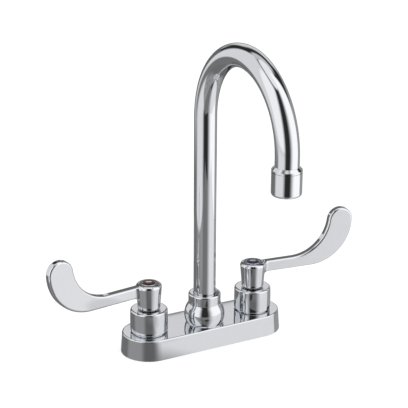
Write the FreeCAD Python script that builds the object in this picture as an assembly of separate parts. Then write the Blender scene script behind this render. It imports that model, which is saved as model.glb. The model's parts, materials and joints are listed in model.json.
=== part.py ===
import FreeCAD, Part
import math
import os

# Deck-mounted two-handle basin faucet with a swivelling gooseneck spout.
# Millimetres. The origin is on the deck, in the middle of the base: +X runs along the base
# to the cold side, -Y points over the basin and +Z is up.

# Layout
CENTRES = 101.6          # between the two valve axes, a 4 inch centreset
SPOUT_FORWARD = 5.1      # the spout socket stands in front of the valve line
HANDLE_LEAD = 7.0        # degrees that a shut handle leans to the front
CLEAR = 0.3              # clearance between pieces that move past each other
FIT = 0.05               # radial running fit of a turned piece in its bore
SEAT = 0.02              # radial gap of a brazed or pushed-in joint

# Deck body casting
BASE_END_R = 24.3
BASE_DRAFT = 1.25
BASE_H = 17.8
BASE_EDGE_R = 1.2
BASE_WALL = 2.8
BASE_TOP_T = 3.4
BOSS_LIFT = 2.6          # the bosses stop above the deck, to leave room for the gasket
BOSS_WALL = 4.4          # casting around a shank socket and a valve chamber
SEAT_WEB = 1.8           # floor between a shank socket and its valve chamber
CROSS_R = 3.0            # bore of the waterway that joins both valves to the spout
CROSS_WALL = 2.4
NECK_WALL = 3.4          # wall of the threaded neck around a valve cartridge
SPOUT_NECK_WALL = 2.3
NECK_CHAMFER = 0.8
PAD_R = 14.2             # raised seat that a valve bell stands on
PAD_H = 0.5

# Shanks and what clamps the faucet to the deck
SHANK_R = 10.45          # crest of a 1/2-14 straight pipe thread
SHANK_BORE_R = 6.35
SHANK_L = 55.0           # below the deck
SHANK_SPIGOT_R = 9.6
SHANK_SPIGOT_L = 5.4
SHANK_CHAMFER = 1.2
DECK_GRIP = 25.0         # room for the deck between the base and the washers
WASHER_R = 19.0
WASHER_T = 2.0
NUT_FLATS = 31.75
NUT_T = 8.0
NUT_FACE_INSET = 0.3     # the turned face is smaller than the flats
NUT_CONE = 30.0          # degrees

# Valve bells
BELL_H = 20.9
BELL_MID_R = 16.1
BELL_END_R = 15.9        # at both ends of the side, which is a slight barrel
BELL_ROUND = 1.6
BELL_FOOT_ROUND = 1.6
BELL_ROOF_T = 4.4
BELL_THREAD_GAP = 0.1    # radial, between a bell's thread and its neck

# Valve cartridges
CART_R = 9.4
CART_BORE_GAP = 0.2
CART_WAIST = 0.8         # depth of the water groove around the cartridge
CART_CORE_R = 7.4        # inside, where the discs lie
CART_FOOT_GAP = 0.4
FLANGE_T = 3.0
FLANGE_OVER = 0.7        # the flange is smaller than the neck by this much
GLAND_R = 7.6
GLAND_PROUD = 1.0
SEAL_T = 2.4
SEAL_IN_R = 4.6
DISC_T = 3.0
DISC_WINDOW_IN = 2.2
DISC_WINDOW_OUT = 5.8
DISC_WINDOW_ANGLE = 64.0
PORT_H = 4.0
PORT_W = 7.0
STOP_ANGLE = 40.0
STOP_MARGIN = 2.0
STOP_IN_R = 5.3
TURN = 90.0              # quarter turn from shut to open
ORING_R = 0.9            # radius of an O-ring's section
ORING_GAP = 0.025        # between an O-ring and the bore or the groove's floor
ORING_SIDE = 0.1         # play of an O-ring along its groove

# Stem
STEM_R = 4.0
STEM_FLANGE_T = 1.8
STEM_ORING_LOW = 3.6     # above the cartridge's roof
STEM_ORING_STEP = 4.2
DOG_L = 8.0
DOG_W = 2.6
DOG_D = 1.8
DOG_GAP = 0.1
CLIP_T = 0.8
CLIP_R = 6.0
CLIP_GROOVE = 0.6
CLIP_LIFT = 0.25
CLIP_MOUTH = 60.0        # degrees that the clip is open
CLIP_COVER = 0.45        # between the clip and the roof of the hub's skirt
SPLINE_TEETH = 16
SPLINE_FOOT = 0.75       # width of a tooth at its foot, in pitches
SPLINE_CREST = 0.25      # and at its crest
SPLINE_ROOT_R = 3.3
SPLINE_CREST_R = 3.75
SPLINE_GAP = 0.04
SPLINE_L = 11.0

# Handle
HUB_GAP = 1.2            # between the bell and the hub
HUB_H = 21.7
HUB_BOTTOM_R = 9.6
HUB_TOP_R = 11.1
HUB_ROUND = 3.0
HUB_FOOT_ROUND = 0.6
HUB_NOSE_D = 2.2         # smooth part of the bore, under the broached part
RECESS_R = 6.4
RECESS_D = 3.9
ARM_TOP_DROP = 1.2       # arm's upper edge below the hub's top
ARM_SET_BACK = 2.4       # the arm leaves the hub behind its axis
ARM_H = 10.0
REACH = 95.6             # from the valve axis to the end of the blade
HEEL_R = 39.0
TIP_R = 11.35
INNER_R = 34.4
BLADE_T = 7.0
BLADE_ROUND = 1.8
ROOT_ROUND = 5.0

# Handle screw and index button
SCREW_R = 2.0
SCREW_L = 9.0            # in the stem
TAP_END = 1.0            # tapped hole goes on below the screw
SCREW_HEAD_R = 3.6
SCREW_HEAD_H = 1.9
SCREW_SLOT_W = 0.9
SCREW_SLOT_D = 0.8
BUTTON_WALL = 1.2
BUTTON_TOP_T = 1.3
BUTTON_PROUD = 0.3
BUTTON_ROUND = 0.5
BUTTON_DOME = 0.7
RING_W = 3.0
RING_T = 0.6             # at the ring's outer edge
RING_INSET = 0.7

# Spout bell
SPOUT_BELL_H = 27.5
SPOUT_BELL_BALL_R = 17.4
SPOUT_BELL_BALL_LIFT = 7.8
SPOUT_BELL_NECK_R = 13.9
SPOUT_BELL_COVE = 2.5
SPOUT_BELL_ROUND = 1.6
SPOUT_BELL_ROOF_T = 2.3
SPOUT_BELL_WALL = 1.8

# Spout
TUBE_R = 9.525           # 3/4 inch tube
TUBE_WALL = 1.25
BEND_R = 63.5
BEND_Z = 203.0
SLIP_T = 0.8
HEAD_H = 7.4
HEAD_WALL = 2.1
TAIL_R = 9.95
TAIL_L = 16.5
TAIL_BORE_R = 6.5
TAIL_CHAMFER = 0.5
TAIL_END_GAP = 1.0       # under the tail, in its socket
TAIL_ORING_LOW = 3.2
TAIL_ORING_STEP = 6.0
SOCKET_D = 6.0
WELL_R = 8.0
WELL_FLOOR = 7.6

# Outlet and aerator
OUTLET_TOP_DROP = 6.5    # from the end of the bend to the collar
COLLAR_R = 11.9
COLLAR_BEVEL = 2.2
COLLAR_BAND = 1.5
COLLAR_LIP = 0.3         # flat rim around the tube at the collar's top
OUTLET_SOCKET_D = 8.5
OUTLET_THREAD_R = 10.5
OUTLET_THREAD_L = 8.8
OUTLET_THREAD_BEVEL = 0.6
OUTLET_BORE_R = 7.4
SHELL_GAP = 0.35
SHELL_L = 18.7
SHELL_ROUND = 2.2
SHELL_LIP_T = 1.4
SHELL_LIP_R = 8.9
SHELL_THREAD_GAP = 0.1
CORE_GAP = 0.15
SCREEN_T = 0.5
CORE_RIM = 2.2
JET_PLATE_T = 1.5
JET_R = 0.9
JET_RING_R = 5.6
JETS = 10
AIR_WASHER_T = 2.1
AIR_WASHER_W = 2.5

# Heights and places that follow from the sizes above
HALF = CENTRES / 2
SPOUT_Y = -SPOUT_FORWARD
BELL_FOOT = BASE_H + PAD_H
BELL_TOP = BASE_H + BELL_H
ROOF = BELL_TOP - BELL_ROOF_T
NECK_TOP = ROOF - FLANGE_T
GLAND_TOP = BELL_TOP + GLAND_PROUD
CLIP_Z = GLAND_TOP + CLIP_LIFT
SKIRT_ROOF = CLIP_Z + CLIP_T + CLIP_COVER
SKIRT_R = GLAND_R + CLEAR
HUB_BOTTOM = BELL_TOP + HUB_GAP
NOSE_TOP = SKIRT_ROOF + HUB_NOSE_D
HUB_TOP = HUB_BOTTOM + HUB_H
RECESS_Z = HUB_TOP - RECESS_D
SHANK_TOP = BOSS_LIFT + SHANK_SPIGOT_L
CHAMBER_Z = SHANK_TOP + SEAT_WEB
CHAMBER_R = CART_R + CART_BORE_GAP
BOSS_R = max(SHANK_SPIGOT_R, CHAMBER_R) + BOSS_WALL
NECK_R = CHAMBER_R + NECK_WALL
CROSS_Z = CHAMBER_Z + CROSS_R + CLEAR
DISC_Z = CHAMBER_Z + SEAL_T
MOVING_Z = DISC_Z + DISC_T
PORT_Z = MOVING_Z + DISC_T
STEM_FLANGE_Z = PORT_Z + PORT_H
CORE_TOP = STEM_FLANGE_Z + STEM_FLANGE_T + CLEAR
CART_ORING_Z = (CORE_TOP + NECK_TOP) / 2
DISC_R = CART_CORE_R - SEAT
MOVING_R = CART_CORE_R - CLEAR
STEM_BORE_R = STEM_R + FIT
STEM_TOP = NOSE_TOP + SPLINE_L
SPOUT_BELL_TOP = BASE_H + SPOUT_BELL_H
SPOUT_ROOF = SPOUT_BELL_TOP - SPOUT_BELL_ROOF_T
HEAD_TOP = SPOUT_ROOF - SLIP_T - FIT
HEAD_BOTTOM = HEAD_TOP - HEAD_H
SPOUT_NECK_TOP = HEAD_BOTTOM - SLIP_T
TAIL_BOTTOM = HEAD_BOTTOM - TAIL_L
SOCKET_R = TAIL_R + FIT
SOCKET_FLOOR = TAIL_BOTTOM - TAIL_END_GAP
SPOUT_NECK_R = SOCKET_R + SPOUT_NECK_WALL
HEAD_R = TUBE_R + HEAD_WALL
TUBE_BOTTOM = HEAD_TOP - SOCKET_D
OUTLET_Y = SPOUT_Y - 2 * BEND_R
OUTLET_TOP = BEND_Z - OUTLET_TOP_DROP
COLLAR_BOTTOM = OUTLET_TOP - COLLAR_BEVEL - COLLAR_BAND
TUBE_END = OUTLET_TOP - OUTLET_SOCKET_D
THREAD_END = COLLAR_BOTTOM - OUTLET_THREAD_L
SHELL_TOP = COLLAR_BOTTOM - SHELL_GAP
SHELL_BOTTOM = SHELL_TOP - SHELL_L
SCREEN_Z = SHELL_BOTTOM + SHELL_LIP_T
CORE_Z = SCREEN_Z + SCREEN_T
AIR_WASHER_Z = THREAD_END - AIR_WASHER_T
INSERT_R = OUTLET_THREAD_R + SHELL_THREAD_GAP - CORE_GAP

V = FreeCAD.Vector
UP = V(0, 0, 1)


def outline(start, *steps):
    """Closed face in the XZ plane: a step is a point, or a mid-point and an end for an arc."""
    edges = []
    here = V(start[0], 0, start[1])
    for step in steps + (start,):
        if len(step) == 2 and isinstance(step[0], tuple):
            mid = V(step[0][0], 0, step[0][1])
            end = V(step[1][0], 0, step[1][1])
            edges.append(Part.Arc(here, mid, end).toShape())
        else:
            end = V(step[0], 0, step[1])
            if end.distanceToPoint(here) < 1e-7:
                continue
            edges.append(Part.LineSegment(here, end).toShape())
        here = end
    return Part.Face(Part.Wire(edges))


def turned(start, *steps):
    """Solid turned about the Z axis from half of its section."""
    return outline(start, *steps).revolve(V(0, 0, 0), UP, 360)


def quarter(centre, radius, degrees):
    """Point on a circle in the XZ plane."""
    a = math.radians(degrees)
    return (centre[0] + radius * math.cos(a), centre[1] + radius * math.sin(a))


def cylinder(radius, low, high, x=0.0, y=0.0):
    return Part.makeCylinder(radius, high - low, V(x, y, low))


def ring(outer, inner, low, high, x=0.0, y=0.0):
    return cylinder(outer, low, high, x, y).cut(cylinder(inner, low, high, x, y))


def box(size_x, size_y, low, high, x=0.0, y=0.0):
    return Part.makeBox(size_x, size_y, high - low, V(x - size_x / 2, y - size_y / 2, low))


def sector(inner, outer, first, last, low, high):
    """Block between two radii and two angles in degrees."""
    def at(radius, degrees):
        a = math.radians(degrees)
        return V(radius * math.cos(a), radius * math.sin(a), low)
    middle = (first + last) / 2
    edges = [
        Part.LineSegment(at(inner, first), at(outer, first)).toShape(),
        Part.Arc(at(outer, first), at(outer, middle), at(outer, last)).toShape(),
        Part.LineSegment(at(outer, last), at(inner, last)).toShape(),
        Part.Arc(at(inner, last), at(inner, middle), at(inner, first)).toShape(),
    ]
    return Part.Face(Part.Wire(edges)).extrude(V(0, 0, high - low))


def polygon(points, low, high):
    """Prism on a closed list of plan points."""
    corners = [V(x, y, low) for x, y in points]
    return Part.Face(Part.makePolygon(corners + corners[:1])).extrude(V(0, 0, high - low))


def splined(root, crest, low, high):
    """Bar with straight-sided teeth, the first of them centred on +X."""
    pitch = 2 * math.pi / SPLINE_TEETH
    half_foot = SPLINE_FOOT / 2
    half_crest = SPLINE_CREST / 2
    points = []
    for tooth in range(SPLINE_TEETH):
        for share, radius in ((-half_foot, root), (-half_crest, crest),
                              (half_crest, crest), (half_foot, root)):
            a = (tooth + share) * pitch
            points.append((radius * math.cos(a), radius * math.sin(a)))
    return polygon(points, low, high)


def o_ring(bore_r, z):
    """O-ring that seals in a bore of this radius."""
    return Part.makeTorus(bore_r - ORING_GAP - ORING_R, ORING_R, V(0, 0, z))


def o_groove(bore_r, z):
    """Groove for such an O-ring, to be cut from the bar in the bore."""
    half = ORING_R + ORING_SIDE
    return ring(bore_r + CLEAR, bore_r - 2 * (ORING_GAP + ORING_R), z - half, z + half)


def moved(shape, x=0.0, y=0.0, z=0.0):
    shape = shape.copy()
    shape.translate(V(x, y, z))
    return shape


def rotated(shape, degrees):
    shape = shape.copy()
    shape.rotate(V(0, 0, 0), UP, degrees)
    return shape


def to_cold(shape):
    """The cold side is the mirror image of the hot side."""
    return shape.mirror(V(0, 0, 0), V(1, 0, 0))


def stadium(end_r, z):
    """Outline of the base at one height."""
    edges = [
        Part.LineSegment(V(-HALF, -end_r, z), V(HALF, -end_r, z)).toShape(),
        Part.Arc(V(HALF, -end_r, z), V(HALF + end_r, 0, z), V(HALF, end_r, z)).toShape(),
        Part.LineSegment(V(HALF, end_r, z), V(-HALF, end_r, z)).toShape(),
        Part.Arc(V(-HALF, end_r, z), V(-HALF - end_r, 0, z), V(-HALF, -end_r, z)).toShape(),
    ]
    return Part.Wire(edges)


def stadium_block(bottom_r, top_r, low, high):
    return Part.makeLoft([stadium(bottom_r, low), stadium(top_r, high)], True, True)


def edges_at(shape, z):
    """Edges that lie level at one height."""
    return [e for e in shape.Edges
            if abs(e.BoundBox.ZMin - z) < 1e-4 and abs(e.BoundBox.ZMax - z) < 1e-4]


def waterway(radius, side):
    """Round bar from a valve axis to the spout axis."""
    start = V(side * HALF, 0, CROSS_Z)
    way = V(0, SPOUT_Y, CROSS_Z).sub(start)
    return Part.makeCylinder(radius, way.Length, start, way)


def body_casting():
    """Hollow brass casting: shell, bosses, threaded necks, chambers and waterway."""
    outside = stadium_block(BASE_END_R, BASE_END_R - BASE_DRAFT, 0, BASE_H)
    pocket_top = BASE_H - BASE_TOP_T
    draft = BASE_DRAFT * pocket_top / BASE_H
    inner_r = BASE_END_R - BASE_WALL
    pocket = stadium_block(inner_r, inner_r - draft, 0, pocket_top)
    shell = outside.makeFillet(BASE_EDGE_R, edges_at(outside, BASE_H)).cut(pocket)

    inside = [cylinder(BOSS_R, BOSS_LIFT, BASE_H - BASE_EDGE_R, side * HALF) for side in (-1, 1)]
    inside.append(cylinder(SPOUT_NECK_R, BOSS_LIFT, BASE_H - BASE_EDGE_R, 0, SPOUT_Y))
    inside += [waterway(CROSS_R + CROSS_WALL, side) for side in (-1, 1)]
    bosses = inside[0].multiFuse(inside[1:]).common(outside)
    bosses = bosses.common(box(4 * CENTRES, CENTRES, BOSS_LIFT, BASE_H - BASE_EDGE_R))

    chamfer_r = NECK_R - NECK_CHAMFER
    neck = turned((0, BASE_H - BASE_EDGE_R), (NECK_R, BASE_H - BASE_EDGE_R),
                  (NECK_R, NECK_TOP - NECK_CHAMFER), (chamfer_r, NECK_TOP), (0, NECK_TOP))
    necks = [moved(neck, side * HALF) for side in (-1, 1)]
    necks += [cylinder(PAD_R, BASE_H - BASE_EDGE_R, BELL_FOOT, side * HALF) for side in (-1, 1)]
    necks.append(cylinder(SPOUT_NECK_R, BASE_H - BASE_EDGE_R, SPOUT_NECK_TOP, 0, SPOUT_Y))
    solid = shell.multiFuse([bosses] + necks)

    holes = []
    for side in (-1, 1):
        x = side * HALF
        holes.append(cylinder(CHAMBER_R, CHAMBER_Z, NECK_TOP, x))
        holes.append(cylinder(SEAL_IN_R, SHANK_TOP, CHAMBER_Z, x))
        holes.append(cylinder(SHANK_SPIGOT_R + SEAT, BOSS_LIFT, SHANK_TOP, x))
        holes.append(waterway(CROSS_R, side))
    holes.append(cylinder(SOCKET_R, SOCKET_FLOOR, SPOUT_NECK_TOP, 0, SPOUT_Y))
    holes.append(cylinder(WELL_R, WELL_FLOOR, SOCKET_FLOOR, 0, SPOUT_Y))
    return solid.cut(holes[0].multiFuse(holes[1:])).removeSplitter()


def deck_gasket():
    """Foam plate in the underside of the base, with holes for the shanks."""
    end_r = BASE_END_R - BASE_WALL - CLEAR
    plate = stadium_block(end_r, end_r, 0, BOSS_LIFT)
    for side in (-1, 1):
        plate = plate.cut(cylinder(SHANK_R + CLEAR, 0, BOSS_LIFT, side * HALF))
    return plate


def supply_shank():
    """Threaded tube that brings water up and clamps the faucet to the deck."""
    shoulder = BOSS_LIFT
    return turned((SHANK_BORE_R, -SHANK_L),
                  (SHANK_R - SHANK_CHAMFER, -SHANK_L),
                  (SHANK_R, -SHANK_L + SHANK_CHAMFER),
                  (SHANK_R, shoulder),
                  (SHANK_SPIGOT_R, shoulder),
                  (SHANK_SPIGOT_R, SHANK_TOP),
                  (SHANK_BORE_R, SHANK_TOP))


def mounting_washer():
    return ring(WASHER_R, SHANK_R + CLEAR, -DECK_GRIP - WASHER_T, -DECK_GRIP)


def lock_nut():
    """Hexagon nut with both ends turned to a cone."""
    top = -DECK_GRIP - WASHER_T
    corner_r = NUT_FLATS / 2 / math.cos(math.pi / 6)
    points = []
    for corner in range(6):
        a = corner * math.pi / 3
        points.append((corner_r * math.cos(a), corner_r * math.sin(a)))
    face_r = NUT_FLATS / 2 - NUT_FACE_INSET
    slope = (corner_r - face_r) * math.tan(math.radians(NUT_CONE))
    cone = turned((0, top - NUT_T), (face_r, top - NUT_T), (corner_r, top - NUT_T + slope),
                  (corner_r, top - slope), (face_r, top), (0, top))
    nut = polygon(points, top - NUT_T, top).common(cone)
    return nut.cut(cylinder(SHANK_R + SEAT, top - NUT_T, top))


def valve_bell():
    """Round bell nut that clamps the cartridge: a slight barrel, rounded at both ends."""
    thread_r = NECK_R + BELL_THREAD_GAP
    low = (BELL_END_R - BELL_FOOT_ROUND, BELL_FOOT + BELL_FOOT_ROUND)
    shoulder = (BELL_END_R - BELL_ROUND, BELL_TOP - BELL_ROUND)
    middle_z = (low[1] + shoulder[1]) / 2
    mouth_r = GLAND_R + CLEAR
    return turned((thread_r, BELL_FOOT),
                  (low[0], BELL_FOOT),
                  (quarter(low, BELL_FOOT_ROUND, -45), (BELL_END_R, low[1])),
                  ((BELL_MID_R, middle_z), (BELL_END_R, shoulder[1])),
                  (quarter(shoulder, BELL_ROUND, 45), (shoulder[0], BELL_TOP)),
                  (mouth_r, BELL_TOP),
                  (mouth_r, ROOF),
                  (thread_r, ROOF))


def cartridge_housing():
    """Brass cartridge: open foot for the discs, side ports, flange and gland."""
    foot = CHAMBER_Z + CART_FOOT_GAP
    waist_r = CART_R - CART_WAIST
    waist_top = CORE_TOP - CLEAR
    flange_r = NECK_R - FLANGE_OVER
    shell = turned((CART_CORE_R, foot),
                   (waist_r, foot),
                   (waist_r, waist_top),
                   (CART_R, waist_top + CART_WAIST),
                   (CART_R, NECK_TOP),
                   (flange_r, NECK_TOP),
                   (flange_r, ROOF),
                   (GLAND_R, ROOF),
                   (GLAND_R, GLAND_TOP - GLAND_PROUD / 2),
                   (GLAND_R - GLAND_PROUD / 2, GLAND_TOP),
                   (STEM_BORE_R, GLAND_TOP),
                   (STEM_BORE_R, CORE_TOP),
                   (CART_CORE_R, CORE_TOP))
    shell = shell.cut(o_groove(CHAMBER_R, CART_ORING_Z))
    ports = box(3 * CART_R, PORT_W, PORT_Z, PORT_Z + PORT_H - CLEAR)
    stop = sector(STOP_IN_R, CART_CORE_R + SEAT, 90 - STOP_ANGLE / 2, 90 + STOP_ANGLE / 2,
                  STEM_FLANGE_Z, CORE_TOP)
    return shell.cut(ports).fuse(stop).removeSplitter()


def seat_seal():
    return ring(DISC_R, SEAL_IN_R, CHAMBER_Z, DISC_Z)


def windows(first, low, high):
    """Two opposite openings through a ceramic disc."""
    half = DISC_WINDOW_ANGLE / 2
    pair = [sector(DISC_WINDOW_IN, DISC_WINDOW_OUT, first + turn - half, first + turn + half,
                   low, high) for turn in (0, 180)]
    return pair[0].fuse(pair[1])


def fixed_disc():
    return cylinder(DISC_R, DISC_Z, MOVING_Z).cut(windows(0, DISC_Z, MOVING_Z))


def moving_disc():
    """Turns on the fixed disc: shut, its windows lie across the other's."""
    disc = cylinder(MOVING_R, MOVING_Z, PORT_Z)
    disc = disc.cut(windows(TURN, MOVING_Z, PORT_Z))
    slot = box(DOG_L + 2 * DOG_GAP, DOG_W + 2 * DOG_GAP, PORT_Z - DOG_D - DOG_GAP, PORT_Z)
    return disc.cut(slot)


def stem():
    """Turns the moving disc: dog, stop flange, O-ring grooves, clip groove and spline."""
    low = PORT_Z - DOG_D
    bar = box(DOG_L, DOG_W, low, STEM_FLANGE_Z)
    flange = cylinder(MOVING_R, STEM_FLANGE_Z, STEM_FLANGE_Z + STEM_FLANGE_T)
    first = 90 - STOP_ANGLE / 2 - TURN - STOP_MARGIN
    last = 90 + STOP_ANGLE / 2 + STOP_MARGIN
    flange = flange.cut(sector(STOP_IN_R - CLEAR, CART_CORE_R, first, last,
                               STEM_FLANGE_Z, STEM_FLANGE_Z + STEM_FLANGE_T))
    shaft = cylinder(STEM_R, STEM_FLANGE_Z, NOSE_TOP)
    head = splined(SPLINE_ROOT_R, SPLINE_CREST_R, NOSE_TOP, STEM_TOP)
    solid = bar.multiFuse([flange, shaft, rotated(head, 180 + HANDLE_LEAD)])
    for ring_z in stem_ring_heights():
        solid = solid.cut(o_groove(STEM_BORE_R, ring_z))
    solid = solid.cut(ring(STEM_R + CLEAR, STEM_R - CLIP_GROOVE, CLIP_Z - FIT,
                           CLIP_Z + CLIP_T + FIT))
    return solid.cut(cylinder(SCREW_R + SEAT, STEM_TOP - SCREW_L - TAP_END, STEM_TOP))


def stem_ring_heights():
    return [CORE_TOP + STEM_ORING_LOW + step * STEM_ORING_STEP for step in (0, 1)]


def stem_o_rings():
    rings = [o_ring(STEM_BORE_R, z) for z in stem_ring_heights()]
    return Part.makeCompound(rings)


def stem_clip():
    """Open spring clip above the gland, which keeps the stem in its cartridge."""
    gap = CLIP_MOUTH / 2
    return sector(STEM_R - CLIP_GROOVE + FIT, CLIP_R, gap, 360 - gap, CLIP_Z, CLIP_Z + CLIP_T)


def arm_middle(side):
    """Y of the arm's middle plane, before the handle is turned to its side."""
    return side * ARM_SET_BACK


def blade(side):
    """Flat wrist blade: arm, heel and upturned tip, all joined by tangent arcs."""
    arm_top = HUB_TOP - ARM_TOP_DROP
    arm_low = arm_top - ARM_H
    heel = (REACH - HEEL_R, arm_low + HEEL_R)
    reach = TIP_R + INNER_R
    tip_z = heel[1]
    tip = (REACH - TIP_R, tip_z)
    rise = arm_top + INNER_R - tip_z
    inner = (tip[0] - math.sqrt(reach ** 2 - rise ** 2), arm_top + INNER_R)
    join_angle = math.degrees(math.atan2(tip[1] - inner[1], tip[0] - inner[0]))
    join = quarter(inner, INNER_R, join_angle)
    tip_start = join_angle + 180
    face = outline((0, arm_low),
                   (heel[0], arm_low),
                   (quarter(heel, HEEL_R, -45), (REACH, heel[1])),
                   (quarter(tip, TIP_R, tip_start / 2), join),
                   (quarter(inner, INNER_R, (join_angle - 90) / 2), (inner[0], arm_top)),
                   (0, arm_top))
    plate = face.extrude(V(0, BLADE_T, 0))
    plate.translate(V(0, arm_middle(side) - BLADE_T / 2, 0))
    if plate.Volume < 0:
        plate = plate.reversed()
    sides = [e for e in plate.Edges
             if abs(e.BoundBox.YLength) < 1e-4 and e.BoundBox.XMax > HUB_BOTTOM_R]
    return plate.makeFillet(min(BLADE_ROUND, BLADE_T * 0.45), sides)


def is_root(edge, middle):
    """True for the upright edges where the arm's sides leave the hub."""
    bound = edge.BoundBox
    on_side = abs(abs(bound.Center.y - middle) - BLADE_T / 2) < 1e-3
    return on_side and bound.YLength < 1e-3 and 0 < bound.XMin and bound.XMax < HUB_TOP_R


def handle(side):
    """Hub with its blade along +X, broached underneath and recessed on top."""
    side_top = HUB_TOP - HUB_ROUND
    centre = (HUB_TOP_R - HUB_ROUND, side_top)
    foot = (HUB_BOTTOM_R - HUB_FOOT_ROUND, HUB_BOTTOM + HUB_FOOT_ROUND)
    hub = turned((0, HUB_BOTTOM),
                 (foot[0], HUB_BOTTOM),
                 (quarter(foot, HUB_FOOT_ROUND, -45), (HUB_BOTTOM_R, foot[1])),
                 (HUB_TOP_R, side_top),
                 (quarter(centre, HUB_ROUND, 45), (centre[0], HUB_TOP)),
                 (0, HUB_TOP))
    solid = hub.fuse(blade(side)).removeSplitter()
    root = [e for e in solid.Edges if is_root(e, arm_middle(side))]
    solid = solid.makeFillet(ROOT_ROUND, root)
    solid = solid.cut(cylinder(SKIRT_R, HUB_BOTTOM, SKIRT_ROOF))
    solid = solid.cut(cylinder(STEM_R + CLEAR, SKIRT_ROOF, NOSE_TOP))
    solid = solid.cut(splined(SPLINE_ROOT_R + SPLINE_GAP, SPLINE_CREST_R + SPLINE_GAP,
                              NOSE_TOP, STEM_TOP))
    solid = solid.cut(cylinder(SCREW_R + CLEAR, STEM_TOP, RECESS_Z))
    return solid.cut(cylinder(RECESS_R, RECESS_Z, HUB_TOP))


def handle_screw():
    head_top = RECESS_Z + SCREW_HEAD_H
    edge = SCREW_HEAD_H / 2
    solid = turned((0, STEM_TOP - SCREW_L),
                   (SCREW_R, STEM_TOP - SCREW_L),
                   (SCREW_R, RECESS_Z),
                   (SCREW_HEAD_R, RECESS_Z),
                   (SCREW_HEAD_R, head_top - edge),
                   (SCREW_HEAD_R - edge, head_top),
                   (0, head_top))
    return solid.cut(box(3 * SCREW_HEAD_R, SCREW_SLOT_W, head_top - SCREW_SLOT_D, head_top))


def index_cap():
    """Domed cap that snaps into the hub and covers the screw, without its groove."""
    outer = RECESS_R - FIT
    top = HUB_TOP + BUTTON_PROUD
    centre = (outer - BUTTON_ROUND, top - BUTTON_ROUND)
    dome_r = (centre[0] ** 2 + BUTTON_DOME ** 2) / (2 * BUTTON_DOME)
    dome = (0, top + BUTTON_DOME - dome_r)
    half_way = 90 - math.degrees(math.asin(centre[0] / dome_r)) / 2
    return turned((0, top - BUTTON_TOP_T),
                  (outer - BUTTON_WALL, top - BUTTON_TOP_T),
                  (outer - BUTTON_WALL, RECESS_Z),
                  (outer, RECESS_Z),
                  (outer, centre[1]),
                  (quarter(centre, BUTTON_ROUND, 45), (centre[0], top)),
                  (quarter(dome, dome_r, half_way), (0, top + BUTTON_DOME)))


def ring_groove(gap):
    """Room of the colour ring in the cap, made smaller all round by the gap."""
    outer = RECESS_R - FIT - RING_INSET
    top = HUB_TOP + BUTTON_PROUD
    return ring(outer - gap, outer - RING_W + gap, top - RING_T, top + BUTTON_DOME)


def index_button():
    return index_cap().cut(ring_groove(0))


def index_ring():
    return index_cap().common(ring_groove(SEAT))


def spout_bell():
    """Ball-shaped bell nut with a straight neck, which holds the spout in its socket."""
    ball = (0, BASE_H + SPOUT_BELL_BALL_LIFT)
    foot_r = math.sqrt(SPOUT_BELL_BALL_R ** 2 - SPOUT_BELL_BALL_LIFT ** 2)
    cove_x = SPOUT_BELL_NECK_R + SPOUT_BELL_COVE
    rise = math.sqrt((SPOUT_BELL_BALL_R + SPOUT_BELL_COVE) ** 2 - cove_x ** 2)
    cove = (cove_x, ball[1] + rise)
    join_angle = math.degrees(math.atan2(rise, cove_x))
    foot_angle = -math.degrees(math.asin(SPOUT_BELL_BALL_LIFT / SPOUT_BELL_BALL_R))
    join = quarter(ball, SPOUT_BELL_BALL_R, join_angle)
    rim = (SPOUT_BELL_NECK_R - SPOUT_BELL_ROUND, SPOUT_BELL_TOP - SPOUT_BELL_ROUND)
    mouth_r = TUBE_R + CLEAR
    thread_r = SPOUT_NECK_R + BELL_THREAD_GAP
    cavity_r = SPOUT_BELL_NECK_R - SPOUT_BELL_WALL
    return turned((thread_r, BASE_H),
                  (foot_r, BASE_H),
                  (quarter(ball, SPOUT_BELL_BALL_R, (foot_angle + join_angle) / 2), join),
                  (quarter(cove, SPOUT_BELL_COVE, 180 + join_angle / 2),
                   (SPOUT_BELL_NECK_R, cove[1])),
                  (SPOUT_BELL_NECK_R, rim[1]),
                  (quarter(rim, SPOUT_BELL_ROUND, 45), (rim[0], SPOUT_BELL_TOP)),
                  (mouth_r, SPOUT_BELL_TOP),
                  (mouth_r, SPOUT_ROOF),
                  (cavity_r, SPOUT_ROOF),
                  (cavity_r, SPOUT_NECK_TOP),
                  (thread_r, SPOUT_NECK_TOP))


def slip_washer(inside_r, low):
    """Plastic slip ring around the tail or the tube, on one side of the spout's head."""
    return ring(HEAD_R, inside_r + CLEAR, low, low + SLIP_T)


def spout_tail():
    """Turned brass foot of the spout: a head under the bell and a tail with two O-rings."""
    outside = turned((0, TAIL_BOTTOM),
                     (TAIL_R - TAIL_CHAMFER, TAIL_BOTTOM),
                     (TAIL_R, TAIL_BOTTOM + TAIL_CHAMFER),
                     (TAIL_R, HEAD_BOTTOM),
                     (HEAD_R, HEAD_BOTTOM),
                     (HEAD_R, HEAD_TOP),
                     (0, HEAD_TOP))
    for ring_z in tail_ring_heights():
        outside = outside.cut(o_groove(SOCKET_R, ring_z))
    bore = cylinder(TAIL_BORE_R, TAIL_BOTTOM, TUBE_BOTTOM)
    return outside.cut(bore).cut(cylinder(TUBE_R + SEAT, TUBE_BOTTOM, HEAD_TOP))


def tail_ring_heights():
    return [TAIL_BOTTOM + TAIL_ORING_LOW + step * TAIL_ORING_STEP for step in (0, 1)]


def tail_o_rings():
    rings = [o_ring(SOCKET_R, z) for z in tail_ring_heights()]
    return Part.makeCompound(rings)


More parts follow.
